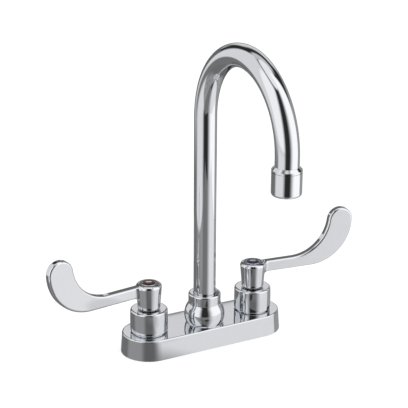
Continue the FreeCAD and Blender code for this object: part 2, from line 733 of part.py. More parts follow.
def gooseneck():
    """Bent tube: riser, half-circle bend and a short drop into the outlet collar."""
    bore_r = TUBE_R - TUBE_WALL
    riser = ring(TUBE_R, bore_r, TUBE_BOTTOM, BEND_Z)
    drop = ring(TUBE_R, bore_r, TUBE_END, BEND_Z, 0, -2 * BEND_R)
    section = Part.Face([Part.Wire(Part.makeCircle(TUBE_R, V(0, 0, BEND_Z))),
                         Part.Wire(Part.makeCircle(bore_r, V(0, 0, BEND_Z)))])
    bend = section.revolve(V(0, -BEND_R, BEND_Z), V(1, 0, 0), 180)
    return riser.multiFuse([bend, drop]).removeSplitter()


def outlet_adapter():
    """Collar on the end of the tube, with the thread that the aerator screws on to."""
    band_top = OUTLET_TOP - COLLAR_BEVEL
    bevel_r = OUTLET_THREAD_R - OUTLET_THREAD_BEVEL
    return turned((TUBE_R + SEAT, OUTLET_TOP),
                  (TUBE_R + SEAT, TUBE_END),
                  (OUTLET_BORE_R, TUBE_END),
                  (OUTLET_BORE_R, THREAD_END),
                  (bevel_r, THREAD_END),
                  (OUTLET_THREAD_R, THREAD_END + OUTLET_THREAD_BEVEL),
                  (OUTLET_THREAD_R, COLLAR_BOTTOM),
                  (COLLAR_R, COLLAR_BOTTOM),
                  (COLLAR_R, band_top),
                  (TUBE_R + SEAT + COLLAR_LIP, OUTLET_TOP))


def aerator_shell():
    """Screwed sleeve with a rounded mouth and an inner lip."""
    round_at = (COLLAR_R - SHELL_ROUND, SHELL_BOTTOM + SHELL_ROUND)
    thread_r = OUTLET_THREAD_R + SHELL_THREAD_GAP
    return turned((SHELL_LIP_R, SHELL_BOTTOM),
                  (round_at[0], SHELL_BOTTOM),
                  (quarter(round_at, SHELL_ROUND, -45), (COLLAR_R, round_at[1])),
                  (COLLAR_R, SHELL_TOP),
                  (thread_r, SHELL_TOP),
                  (thread_r, SCREEN_Z),
                  (SHELL_LIP_R, SCREEN_Z))


def aerator_screen():
    """Perforated disc that the water leaves through."""
    disc = cylinder(INSERT_R, SCREEN_Z, CORE_Z)
    holes = [cylinder(JET_R, SCREEN_Z, CORE_Z)]
    for jet in range(JETS):
        a = 2 * math.pi * jet / JETS
        holes.append(cylinder(JET_R, SCREEN_Z, CORE_Z,
                              JET_RING_R * math.cos(a), JET_RING_R * math.sin(a)))
    return disc.cut(holes[0].multiFuse(holes[1:]))


def aerator_core():
    """Plastic insert with a rim, a jet plate and a ring of jets."""
    plate_z = AIR_WASHER_Z - JET_PLATE_T
    core = turned((INSERT_R - CORE_RIM, CORE_Z),
                  (INSERT_R, CORE_Z),
                  (INSERT_R, AIR_WASHER_Z),
                  (0, AIR_WASHER_Z),
                  (0, plate_z),
                  (INSERT_R - CORE_RIM, plate_z))
    holes = []
    for jet in range(JETS):
        a = 2 * math.pi * jet / JETS
        holes.append(cylinder(JET_R, plate_z, AIR_WASHER_Z,
                              JET_RING_R * math.cos(a), JET_RING_R * math.sin(a)))
    return core.cut(holes[0].multiFuse(holes[1:]))


def aerator_washer():
    return ring(INSERT_R, INSERT_R - AIR_WASHER_W, AIR_WASHER_Z, THREAD_END)


def build():
    """Every sub-part under its own name."""
    parts = {"body_casting": body_casting(), "deck_gasket": deck_gasket()}
    both = (-HALF, HALF)
    parts["mounting_washers"] = Part.makeCompound([moved(mounting_washer(), x) for x in both])
    parts["lock_nuts"] = Part.makeCompound([moved(lock_nut(), x) for x in both])
    parts["seat_seals"] = Part.makeCompound([moved(seat_seal(), x) for x in both])
    ring_in_neck = o_ring(CHAMBER_R, CART_ORING_Z)
    parts["cartridge_o_rings"] = Part.makeCompound([moved(ring_in_neck, x) for x in both])

    valve = {
        "supply_shank": supply_shank(),
        "valve_bell": valve_bell(),
        "cartridge_housing": cartridge_housing(),
        "fixed_disc": fixed_disc(),
        "moving_disc": moving_disc(),
        "stem": stem(),
        "stem_o_rings": stem_o_rings(),
        "stem_clip": stem_clip(),
        "handle_screw": handle_screw(),
        "index_button": index_button(),
        "index_ring": index_ring(),
    }
    for name, shape in valve.items():
        parts["hot_" + name] = moved(shape, -HALF)
        parts["cold_" + name] = moved(to_cold(shape), HALF)
    parts["hot_handle"] = moved(rotated(handle(-1), 180 + HANDLE_LEAD), -HALF)
    parts["cold_handle"] = moved(rotated(handle(1), -HANDLE_LEAD), HALF)

    parts["spout_bell"] = moved(spout_bell(), 0, SPOUT_Y)
    parts["lower_slip_washer"] = moved(slip_washer(TAIL_R, SPOUT_NECK_TOP), 0, SPOUT_Y)
    upper = slip_washer(TUBE_R, SPOUT_ROOF - SLIP_T)
    parts["upper_slip_washer"] = moved(upper, 0, SPOUT_Y)
    parts["spout_tail"] = moved(spout_tail(), 0, SPOUT_Y)
    parts["spout_o_rings"] = moved(tail_o_rings(), 0, SPOUT_Y)
    parts["spout_tube"] = moved(gooseneck(), 0, SPOUT_Y)
    parts["outlet_adapter"] = moved(outlet_adapter(), 0, OUTLET_Y)
    parts["aerator_shell"] = moved(aerator_shell(), 0, OUTLET_Y)
    parts["aerator_screen"] = moved(aerator_screen(), 0, OUTLET_Y)
    parts["aerator_core"] = moved(aerator_core(), 0, OUTLET_Y)
    parts["aerator_washer"] = moved(aerator_washer(), 0, OUTLET_Y)
    return parts


os.makedirs("parts", exist_ok=True)
for name, shape in build().items():
    shape.exportStep("parts/" + name + ".step")
    print(name, len(shape.Solids), round(shape.Volume / 1000, 3), "cm3", shape.isValid())
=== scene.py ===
"""Looks of a deck-mounted basin faucet: finishes, threaded shanks, studio and camera.

Every length in the classes is in millimetres unless its name says otherwise; meshes are in
metres. The origin is on the deck in the middle of the base, +X runs along the base to the cold
side, -Y points over the basin and +Z is up.
"""
from __future__ import annotations

import json
import logging
import math
from dataclasses import dataclass
from enum import Enum
from typing import Any

import bpy
import numpy as np
from mathutils import Matrix, Vector

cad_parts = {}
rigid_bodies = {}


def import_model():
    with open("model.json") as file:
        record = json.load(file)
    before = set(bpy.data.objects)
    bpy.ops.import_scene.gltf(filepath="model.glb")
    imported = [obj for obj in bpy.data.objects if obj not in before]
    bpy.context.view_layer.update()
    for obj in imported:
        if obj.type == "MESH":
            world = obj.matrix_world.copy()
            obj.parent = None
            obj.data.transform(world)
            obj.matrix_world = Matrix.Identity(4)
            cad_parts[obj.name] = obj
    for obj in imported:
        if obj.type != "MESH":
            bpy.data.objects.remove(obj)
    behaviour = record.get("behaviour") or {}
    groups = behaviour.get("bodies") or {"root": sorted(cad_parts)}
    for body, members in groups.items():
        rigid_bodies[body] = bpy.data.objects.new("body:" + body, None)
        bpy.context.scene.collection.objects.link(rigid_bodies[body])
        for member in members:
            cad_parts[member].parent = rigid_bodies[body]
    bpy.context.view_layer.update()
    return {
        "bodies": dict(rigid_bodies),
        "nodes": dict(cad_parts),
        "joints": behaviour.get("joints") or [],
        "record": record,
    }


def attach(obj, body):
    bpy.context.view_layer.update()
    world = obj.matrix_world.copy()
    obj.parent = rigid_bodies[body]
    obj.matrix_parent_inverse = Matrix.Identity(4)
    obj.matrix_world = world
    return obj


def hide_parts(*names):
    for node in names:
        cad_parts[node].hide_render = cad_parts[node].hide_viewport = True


LOG = logging.getLogger("basin_faucet")
MM = 0.001


def linear(code: str) -> tuple[float, float, float, float]:
    """Turn an sRGB colour into the linear values that shaders read.

    Args:
        code: Colour as "#RRGGBB".

    Returns:
        Red, green, blue and an alpha of 1. A channel c up to 0.04045 becomes c / 12.92, and a
        larger one ((c + 0.055) / 1.055) ** 2.4.
    """
    channels = [int(code[i:i + 2], 16) / 255 for i in (1, 3, 5)]
    r, g, b = [c / 12.92 if c <= 0.04045 else ((c + 0.055) / 1.055) ** 2.4 for c in channels]
    return (r, g, b, 1.0)


def add_node(tree: bpy.types.NodeTree, kind: str, inputs: dict[Any, Any] | None = None,
             **settings: Any) -> bpy.types.Node:
    """Add one node with its settings, values and links.

    Args:
        tree: Node tree that gets the node.
        kind: Type name of the node.
        inputs: Input name or number, to a value or to an output socket that feeds it.
        **settings: Properties of the node itself.

    Returns:
        The new node.
    """
    node = tree.nodes.new(kind)
    for key, value in settings.items():
        setattr(node, key, value)
    for key, value in (inputs or {}).items():
        if isinstance(value, bpy.types.NodeSocket):
            tree.links.new(value, node.inputs[key])
        else:
            node.inputs[key].default_value = value
    return node


def scale_for(width_mm: float) -> float:
    """Noise or Voronoi scale whose features are about this wide on a piece in metres."""
    return 1.0 / (width_mm * MM)


def wave_scale_for(pitch_mm: float) -> float:
    """Wave texture scale that gives one band per pitch: its bands repeat every pi / 10 units."""
    return math.pi / 10 / (pitch_mm * MM)


def blank_material(name: str) -> bpy.types.Material:
    """Make a node material whose tree is still empty."""
    made = bpy.data.materials.new(name)
    made.use_nodes = True
    made.node_tree.nodes.clear()
    return made


# Finishes


@dataclass(frozen=True)
class Finish:
    """A surface as its maker would order it: one principled shader and its patterns."""

    name: str = "plain"
    colour: str = "#808080"
    roughness: float = 0.4
    metallic: float = 0.0

    def material(self) -> bpy.types.Material:
        """Build the material.

        Returns:
            A node material whose patterns read Object coordinates.
        """
        made = blank_material(self.name)
        made.diffuse_color = linear(self.colour)
        made.metallic = self.metallic
        made.roughness = self.roughness
        tree = made.node_tree
        shader = add_node(tree, "ShaderNodeBsdfPrincipled",
                          {"Base Color": linear(self.colour), "Roughness": self.roughness,
                           "Metallic": self.metallic})
        add_node(tree, "ShaderNodeOutputMaterial", {"Surface": shader.outputs["BSDF"]})
        self.pattern(tree, shader, add_node(tree, "ShaderNodeTexCoord").outputs["Object"])
        return made

    def pattern(self, tree: bpy.types.NodeTree, shader: bpy.types.Node,
                place: bpy.types.NodeSocket) -> None:
        """Add this finish's own patterns to the shader; a plain finish has none."""


@dataclass(frozen=True)
class ChromePlate(Finish):
    """Nickel-chromium plate on polished brass: a cool mirror with a faint polishing ripple."""

    name: str = "chrome_plate"
    colour: str = "#DCDEE1"
    tint: str = "#D6D8DC"
    roughness: float = 0.03
    metallic: float = 1.0
    ripple: float = 11.0
    ripple_depth: float = 0.006
    haze: float = 6.0
    haze_span: tuple[float, float] = (0.35, 0.75)
    haze_gain: float = 0.035

    def pattern(self, tree: bpy.types.NodeTree, shader: bpy.types.Node,
                place: bpy.types.NodeSocket) -> None:
        """Add the ripple, a soft haze in the gloss and a slight tint of the plate."""
        ripple = add_node(tree, "ShaderNodeTexNoise",
                          {"Vector": place, "Scale": scale_for(self.ripple), "Detail": 1.0})
        bump = add_node(tree, "ShaderNodeBump",
                        {"Height": ripple.outputs["Fac"], "Strength": 1.0,
                         "Distance": self.ripple_depth * MM})
        haze = add_node(tree, "ShaderNodeTexNoise",
                        {"Vector": place, "Scale": scale_for(self.haze), "Detail": 4.0,
                         "Roughness": 0.6})
        gloss = add_node(tree, "ShaderNodeMapRange",
                         {"Value": haze.outputs["Fac"], "From Min": self.haze_span[0],
                          "From Max": self.haze_span[1], "To Min": self.roughness,
                          "To Max": self.roughness + self.haze_gain})
        tint = add_node(tree, "ShaderNodeMixRGB",
                        {"Fac": haze.outputs["Fac"], "Color1": linear(self.colour),
                         "Color2": linear(self.tint)})
        tree.links.new(tint.outputs["Color"], shader.inputs["Base Color"])
        tree.links.new(gloss.outputs["Result"], shader.inputs["Roughness"])
        tree.links.new(bump.outputs["Normal"], shader.inputs["Normal"])


@dataclass(frozen=True)
class TurnedMetal(Finish):
    """Bare metal from the lathe: fine rings along Z, with darker stain in patches."""

    name: str = "turned_brass"
    colour: str = "#D6B878"
    stain: str = "#B08D4C"
    roughness: float = 0.26
    metallic: float = 1.0
    feed: float = 0.35
    ring_depth: float = 0.008
    stain_width: float = 7.0
    gloss_span: tuple[float, float] = (0.8, 1.5)

    def pattern(self, tree: bpy.types.NodeTree, shader: bpy.types.Node,
                place: bpy.types.NodeSocket) -> None:
        """Add the tool's rings to normal and gloss, and the stain to the colour."""
        rings = add_node(tree, "ShaderNodeTexWave",
                         {"Vector": place, "Scale": wave_scale_for(self.feed),
                          "Distortion": 0.6, "Detail": 1.0},
                         wave_type="BANDS", bands_direction="Z")
        bump = add_node(tree, "ShaderNodeBump",
                        {"Height": rings.outputs["Fac"], "Strength": 1.0,
                         "Distance": self.ring_depth * MM})
        stain = add_node(tree, "ShaderNodeTexNoise",
                         {"Vector": place, "Scale": scale_for(self.stain_width),
                          "Detail": 5.0})
        colour = add_node(tree, "ShaderNodeMixRGB",
                          {"Fac": stain.outputs["Fac"], "Color1": linear(self.colour),
                           "Color2": linear(self.stain)})
        gloss = add_node(tree, "ShaderNodeMapRange",
                         {"Value": stain.outputs["Fac"],
                          "To Min": self.roughness * self.gloss_span[0],
                          "To Max": self.roughness * self.gloss_span[1]})
        tree.links.new(colour.outputs["Color"], shader.inputs["Base Color"])
        tree.links.new(gloss.outputs["Result"], shader.inputs["Roughness"])
        tree.links.new(bump.outputs["Normal"], shader.inputs["Normal"])


@dataclass(frozen=True)
class ZincPlate(Finish):
    """Bright zinc on stamped steel: a grey-blue sheen broken into small crystals."""

    name: str = "zinc_plate"
    colour: str = "#B9BEC4"
    pale: str = "#C9CCCF"
    roughness: float = 0.32
    metallic: float = 1.0
    crystal: float = 1.6
    gloss_span: tuple[float, float] = (0.75, 1.35)

    def pattern(self, tree: bpy.types.NodeTree, shader: bpy.types.Node,
                place: bpy.types.NodeSocket) -> None:
        """Add the crystals, drawn somewhat larger than real so that they show."""
        cells = add_node(tree, "ShaderNodeTexVoronoi",
                         {"Vector": place, "Scale": scale_for(self.crystal)})
        split = add_node(tree, "ShaderNodeSeparateColor", {"Color": cells.outputs["Color"]})
        gloss = add_node(tree, "ShaderNodeMapRange",
                         {"Value": split.outputs["Red"],
                          "To Min": self.roughness * self.gloss_span[0],
                          "To Max": self.roughness * self.gloss_span[1]})
        colour = add_node(tree, "ShaderNodeMixRGB",
                          {"Fac": split.outputs["Green"], "Color1": linear(self.colour),
                           "Color2": linear(self.pale)})
        tree.links.new(gloss.outputs["Result"], shader.inputs["Roughness"])
        tree.links.new(colour.outputs["Color"], shader.inputs["Base Color"])


@dataclass(frozen=True)
class Grained(Finish):
    """Moulded, ground or foamed surface: a fine grain in height, gloss and shade."""

    name: str = "nitrile"
    colour: str = "#1B1B1C"
    shade: str = "#2A2A2B"
    roughness: float = 0.55
    grain: float = 0.5
    grain_depth: float = 0.02
    gloss_span: tuple[float, float] = (0.8, 1.2)

    def pattern(self, tree: bpy.types.NodeTree, shader: bpy.types.Node,
                place: bpy.types.NodeSocket) -> None:
        """Add the grain."""
        grain = add_node(tree, "ShaderNodeTexNoise",
                         {"Vector": place, "Scale": scale_for(self.grain), "Detail": 3.0})
        bump = add_node(tree, "ShaderNodeBump",
                        {"Height": grain.outputs["Fac"], "Strength": 1.0,
                         "Distance": self.grain_depth * MM})
        colour = add_node(tree, "ShaderNodeMixRGB",
                          {"Fac": grain.outputs["Fac"], "Color1": linear(self.colour),
                           "Color2": linear(self.shade)})
        gloss = add_node(tree, "ShaderNodeMapRange",
                         {"Value": grain.outputs["Fac"],
                          "To Min": self.roughness * self.gloss_span[0],
                          "To Max": min(1.0, self.roughness * self.gloss_span[1])})
        tree.links.new(colour.outputs["Color"], shader.inputs["Base Color"])
        tree.links.new(gloss.outputs["Result"], shader.inputs["Roughness"])
        tree.links.new(bump.outputs["Normal"], shader.inputs["Normal"])


# Chrome on the sand-cast base keeps a little of the casting's waviness under the polish
CAST_CHROME = ChromePlate(name="chrome_on_casting", ripple=14.0, ripple_depth=0.010)
# Forged handles are belt-polished, so their mirror is a little softer along the faces
FORGED_CHROME = ChromePlate(name="chrome_on_forging", ripple=10.0, ripple_depth=0.008,
                            roughness=0.04)
# Turned bells and collar come truest from the lathe
TURNED_CHROME = ChromePlate(name="chrome_on_turned_brass", ripple=9.0, ripple_depth=0.004)
# Drawn tube: long, even reflections
TUBE_CHROME = ChromePlate(name="chrome_on_tube", ripple=30.0, ripple_depth=0.008)
# Bare brass that nobody sees once the faucet is fitted
TURNED_BRASS = TurnedMetal()
THREAD_BRASS = TurnedMetal(name="threaded_brass", colour="#CDAE6C", stain="#A98A4E", feed=0.6,
                           ring_depth=0.004)
# Cartridge and stem are nickel-plated, with their warm grey painted far darker than nickel so
# that the gap under the hub shows as shade: painted shade
NICKEL_DARKENED_FOR_GAP_SHADE = TurnedMetal(name="dull_nickel", colour="#8F8A82", stain="#6F6A63", roughness=0.3)
STAINLESS = TurnedMetal(name="stainless_steel", colour="#C4C4C2", stain="#B4B4B2",
                        roughness=0.24, feed=0.5, ring_depth=0.003)
WASHER_ZINC = ZincPlate()
# Nitrile O-rings: black with a slight oily gloss
NITRILE = Grained(roughness=0.42)
# Closed-cell foam: matt, with small pits
FOAM = Grained(name="foam_rubber", colour="#222326", shade="#101012", roughness=0.9, grain=0.9,
               grain_depth=0.12)
# Lapped alumina: off-white, ground smooth
ALUMINA = Grained(name="alumina", colour="#EFECE4", shade="#E2DED4", roughness=0.22, grain=0.4,
                  grain_depth=0.003)
ACETAL_WHITE = Grained(name="acetal_white", colour="#E4E3DC", shade="#DAD9D1", roughness=0.38,
                       grain=0.8, grain_depth=0.006)
ACETAL_GREY = Grained(name="acetal_grey", colour="#8E9092", shade="#7F8183", roughness=0.4,
                      grain=0.8, grain_depth=0.006)


class Side(Enum):
    """The two valves, by their place on the X axis and the colour of their ring."""

    HOT = ("hot", -1, "#471B18", "#3A1412")
    COLD = ("cold", 1, "#212C4B", "#1A233D")

    @property
    def label(self) -> str:
        """Word at the start of this side's node names."""
        return self.value[0]

    @property
    def sign(self) -> int:
        """-1 on the hot side and +1 on the cold side."""
        return self.value[1]

    def enamel(self) -> Grained:
        """Glossy enamel in the index button's groove."""
        return Grained(name=f"enamel_{self.label}", colour=self.value[2], shade=self.value[3],
                       roughness=0.2, grain=0.7, grain_depth=0.004)


# Meshes


def closed_surface(name: str, points: np.ndarray) -> bpy.types.Object:
    """Make a piece from a grid of points that closes on itself both ways, like a ring.

    Args:
        name: Name of the piece.
        points: Array of shape (rows, columns, 3) in metres.

    Returns:
        The piece at the origin. Cell (i, j) is the quad of points (i, j), (i, j + 1),
        (i + 1, j + 1) and (i + 1, j), with both indices counted round.
    """
    rows, columns, _ = points.shape
    index = np.arange(rows * columns).reshape(rows, columns)
    quads = np.stack([index, np.roll(index, -1, 1), np.roll(np.roll(index, -1, 0), -1, 1),
                      np.roll(index, -1, 0)], -1).reshape(-1, 4)
    mesh = bpy.data.meshes.new(name)
    mesh.vertices.add(rows * columns)
    mesh.vertices.foreach_set("co", points.astype(np.float32).ravel())
    mesh.loops.add(quads.size)
    mesh.loops.foreach_set("vertex_index", quads.astype(np.int32).ravel())
    mesh.polygons.add(len(quads))
    starts = np.arange(0, quads.size, quads.shape[1], dtype=np.int32)
    mesh.polygons.foreach_set("loop_start", starts)
    mesh.update(calc_edges=True)
    mesh.validate()
    mesh.shade_smooth()
    piece = bpy.data.objects.new(name, mesh)
    bpy.context.scene.collection.objects.link(piece)
    return piece


def flat_sheet(name: str, corners: np.ndarray, paint: bpy.types.Material) -> bpy.types.Object:
    """Make a flat piece from its outline.

    Args:
        name: Name of the piece.
        corners: Array of shape (count, 3) in millimetres, in order round the outline.
        paint: The piece's material.

    Returns:
        The piece at the origin, as one polygon.
    """
    mesh = bpy.data.meshes.new(name)
    mesh.from_pydata((corners * MM).tolist(), [], [list(range(len(corners)))])
    mesh.update()
    mesh.materials.append(paint)
    piece = bpy.data.objects.new(name, mesh)
    bpy.context.scene.collection.objects.link(piece)
    return piece


def dress(frame: dict[str, Any], finish: Finish, *nodes: str) -> None:
    """Give CAD nodes a finish.

    Args:
        finish: The finish, made into a material once.
        *nodes: Names of the nodes.
    """
    made = bpy.data.materials.get(finish.name) or finish.material()
    for node in nodes:
        slots = frame["nodes"][node].data.materials
        slots.clear()
        slots.append(made)
        LOG.info("%s: %s", node, finish.name)


# Sub-assemblies


@dataclass
class SupplyShank:
    """Threaded brass tube under a valve, with a 1/2-14 straight pipe thread cut into it."""

    side: Side
    centre: float = 50.8
    crest: float = 10.45
    bore: float = 6.35
    pitch: float = 25.4 / 14
    depth: float = 1.15
    low: float = -55.0
    shoulder: float = 2.6
    top: float = 8.0
    spigot: float = 9.6
    runout: float = 2.4
    chamfer: float = 1.2
    flat_share: float = 1 / 7
    sharp_degrees: float = 40.0
    columns: int = 96
    per_pitch: int = 8
    bore_rows: int = 12

    def points(self) -> np.ndarray:
        """Grid of the tube's skin.

        Returns:
            Points (i, j) at height z_i and angle a_j = 2 pi j / columns. On the outside the
            radius is crest - depth * fade * trough, where trough = |2 frac(z / pitch - a /
            2 pi) - 1| cut flat over flat_share at each end, and fade falls to 0 over the
            run-out under the shoulder. The chamfer at the foot caps the radius at
            crest - chamfer + (z - low). The loop then goes over the spigot, down the bore and
            back across the foot.
        """
        rows = int((self.shoulder - self.low) / self.pitch * self.per_pitch)
        z_out = np.linspace(self.low, self.shoulder, rows)[:, None]
        angle = np.linspace(0, 2 * np.pi, self.columns, endpoint=False)[None, :]
        turn = np.mod(z_out / self.pitch - angle / (2 * np.pi), 1.0)
        flank = 1 - 2 * self.flat_share
        trough = np.clip((np.abs(2 * turn - 1) - self.flat_share) / flank, 0, 1)
        fade = np.clip((self.shoulder - z_out) / self.runout, 0, 1)
        radius = self.crest - self.depth * fade * trough
        radius = np.minimum(radius, self.crest - self.chamfer + (z_out - self.low))
        flat = np.ones_like(angle)
        z_in = np.linspace(self.top, self.low, self.bore_rows)
        path = [(self.spigot, self.shoulder), (self.spigot, self.top)]
        path += [(self.bore, z) for z in z_in]
        loop_r = np.concatenate([radius] + [r * flat for r, _ in path])
        loop_z = np.concatenate([z_out * flat] + [z * flat for _, z in path])
        x = self.side.sign * self.centre + loop_r * np.cos(angle)
        return np.stack([x, loop_r * np.sin(angle), loop_z], -1) * MM

    def build(self, frame: dict[str, Any]) -> None:
        """Make the threaded tube and let it stand for the plain one.
        """
        name = f"{self.side.label}_shank_thread"
        piece = closed_surface(name, self.points())
        piece.data.set_sharp_from_angle(angle=math.radians(self.sharp_degrees))
        piece.data.materials.append(bpy.data.materials.get(THREAD_BRASS.name)
                                    or THREAD_BRASS.material())
        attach(piece, "faucet_body")
        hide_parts(f"{self.side.label}_supply_shank")
        LOG.info("%s: thread at %.3f mm pitch", name, self.pitch)


@dataclass
class DeckBody:
    """Base casting with its gasket and the pieces that clamp it to the deck."""

    def build(self, frame: dict[str, Any]) -> None:
        """Dress the casting and the pieces under it, and cut the shanks' threads."""
        dress(frame, CAST_CHROME, "body_casting")
        dress(frame, FOAM, "deck_gasket")
        dress(frame, WASHER_ZINC, "mounting_washers")
        dress(frame, TURNED_BRASS, "lock_nuts")
        dress(frame, NITRILE, "seat_seals", "cartridge_o_rings")
        for side in Side:
            SupplyShank(side).build(frame)


@dataclass
class Valve:
    """Bell, cartridge and handle of one side."""

    side: Side

    def build(self, frame: dict[str, Any]) -> None:
        """Dress the valve's pieces from the discs up to the index button."""
        tag = self.side.label
        dress(frame, TURNED_CHROME, f"{tag}_valve_bell")
        # housing and stem get nickel painted dark as the shade in the gap under the hub
        dress(frame, NICKEL_DARKENED_FOR_GAP_SHADE, f"{tag}_cartridge_housing", f"{tag}_stem")
        dress(frame, THREAD_BRASS, f"{tag}_supply_shank")
        dress(frame, ALUMINA, f"{tag}_fixed_disc", f"{tag}_moving_disc")
        dress(frame, NITRILE, f"{tag}_stem_o_rings")
        dress(frame, STAINLESS, f"{tag}_stem_clip", f"{tag}_handle_screw")
        dress(frame, FORGED_CHROME, f"{tag}_handle", f"{tag}_index_button")
        dress(frame, self.side.enamel(), f"{tag}_index_ring")


@dataclass
class Spout:
    """Bell, swivel joint, gooseneck and aerator."""

    def build(self, frame: dict[str, Any]) -> None:
        """Dress the spout from its bell to its aerator."""
        dress(frame, TURNED_CHROME, "spout_bell", "outlet_adapter", "aerator_shell")
        dress(frame, TUBE_CHROME, "spout_tube")
        dress(frame, TURNED_BRASS, "spout_tail")
        dress(frame, NITRILE, "spout_o_rings", "aerator_washer")
        dress(frame, ACETAL_WHITE, "lower_slip_washer", "upper_slip_washer")
        dress(frame, ACETAL_GREY, "aerator_core")
        dress(frame, STAINLESS, "aerator_screen")


# Studio


@dataclass(frozen=True)
class Panel:
    """One lit wall of the studio, as polished metal sees it.

    Each edge is its angle in degrees and the half-width of its soft step. The azimuth is 0 in
    front of the faucet, at -Y, and grows towards the cold side, and the height is above the
    horizon. The level is how bright the panel is.
    """

    name: str
    left: tuple[float, float]
    right: tuple[float, float]
    low: tuple[float, float]
    high: tuple[float, float]
    level: float

    def shade(self, tree: bpy.types.NodeTree, azimuth: bpy.types.NodeSocket,
              height: bpy.types.NodeSocket) -> bpy.types.NodeSocket:
        """Level times four soft steps, one for each edge of the panel.

        Args:
            tree: The world's node tree.
            azimuth: Socket with the azimuth in degrees.
            height: Socket with the height in degrees.

        Returns:
            Socket that is the level inside the panel and 0 outside.
        """
        product = None
        for value, edge, inward in ((azimuth, self.left, 1), (azimuth, self.right, -1),
                                    (height, self.low, 1), (height, self.high, -1)):
            place, soft = edge
            step = add_node(tree, "ShaderNodeMapRange",
                            {"Value": value, "From Min": place - inward * soft,
                             "From Max": place + inward * soft},
                            interpolation_type="SMOOTHSTEP", label=self.name)
            product = add_node(tree, "ShaderNodeMath",
                               {0: step.outputs["Result"],
                                1: self.level if product is None else product},
                               operation="MULTIPLY").outputs[0]
        return product


@dataclass
class Studio:
    """White room that polished metal sees as a ring of walls, soft boxes and dark gaps."""

    gap: float = 0.03
    panels: tuple[Panel, ...] = (
        Panel("soft box on the left", (-125, 15), (-52, 14), (-14, 7), (60, 7), 1.20),
        Panel("foot of the left box", (-125, 15), (-52, 14), (-91, 8), (-8, 8), 0.95),
        Panel("back wall on the left", (-166, 5), (-112, 12), (-17, 5), (62, 6), 0.90),
        Panel("foot of that wall", (-182, 3), (-112, 12), (-91, 7), (-15, 6), 0.22),
        Panel("soft box on the right", (7, 22), (80, 7), (-91, 7), (92, 7), 1.34),
        Panel("right wall", (80, 7), (122, 9), (-91, 9), (20, 9), 0.40),
        Panel("low back wall", (122, 8), (182, 8), (-30, 8), (14, 8), 0.48),
        Panel("card behind", (118, 7), (168, 7), (8, 7), (34, 7), 0.84),
        Panel("high back wall", (100, 12), (186, 3), (52, 4), (68, 4), 0.70),
        Panel("its left end", (-186, 3), (-160, 6), (52, 4), (68, 4), 0.70),
        Panel("ceiling", (-182, 3), (182, 3), (66, 3), (92, 3), 1.10),
    )

    def build(self) -> None:
        """Make the world, the floor, the cloth, the lamp and the camera."""
        self.world()
        Floor().build()
        Cloth().build()
        Lamp().build()
        ViewPoint().build()
        bpy.context.scene.view_settings.view_transform = "Standard"
        LOG.info("studio: %d panels", len(self.panels))

    def world(self) -> None:
        """Light the faucet evenly, and show the panels in polished metal only."""
        world = bpy.data.worlds.new("studio")
        bpy.context.scene.world = world
        world.use_nodes = True
        tree = world.node_tree
        tree.nodes.clear()
        path = add_node(tree, "ShaderNodeLightPath")
        toward = add_node(tree, "ShaderNodeTexCoord").outputs["Generated"]
        part = add_node(tree, "ShaderNodeSeparateXYZ", {"Vector": toward})
        front = add_node(tree, "ShaderNodeMath", {0: part.outputs["Y"], 1: -1.0},
                         operation="MULTIPLY")
        turn = add_node(tree, "ShaderNodeMath", {0: part.outputs["X"], 1: front.outputs[0]},
                        operation="ARCTAN2")
        azimuth = add_node(tree, "ShaderNodeMath", {0: turn.outputs[0]}, operation="DEGREES")
        rise = add_node(tree, "ShaderNodeMath", {0: part.outputs["Z"]}, operation="ARCSINE")
        height = add_node(tree, "ShaderNodeMath", {0: rise.outputs[0]}, operation="DEGREES")
        seen: Any = self.gap
        for panel in self.panels:
            level = panel.shade(tree, azimuth.outputs[0], height.outputs[0])
            seen = add_node(tree, "ShaderNodeMath", {0: level, 1: seen},
                            operation="MAXIMUM").outputs[0]
        mirrored = add_node(tree, "ShaderNodeMath",
                            {0: path.outputs["Is Glossy Ray"],
                             1: path.outputs["Is Transmission Ray"]}, operation="MAXIMUM")
        strength = add_node(tree, "ShaderNodeMix",
                            {"Factor": mirrored.outputs[0], "A": 1.0, "B": seen},
                            data_type="FLOAT")
        light = add_node(tree, "ShaderNodeBackground",
                         {"Color": linear("#FFFFFF"), "Strength": strength.outputs["Result"]})
        add_node(tree, "ShaderNodeOutputWorld", {"Surface": light.outputs["Background"]})


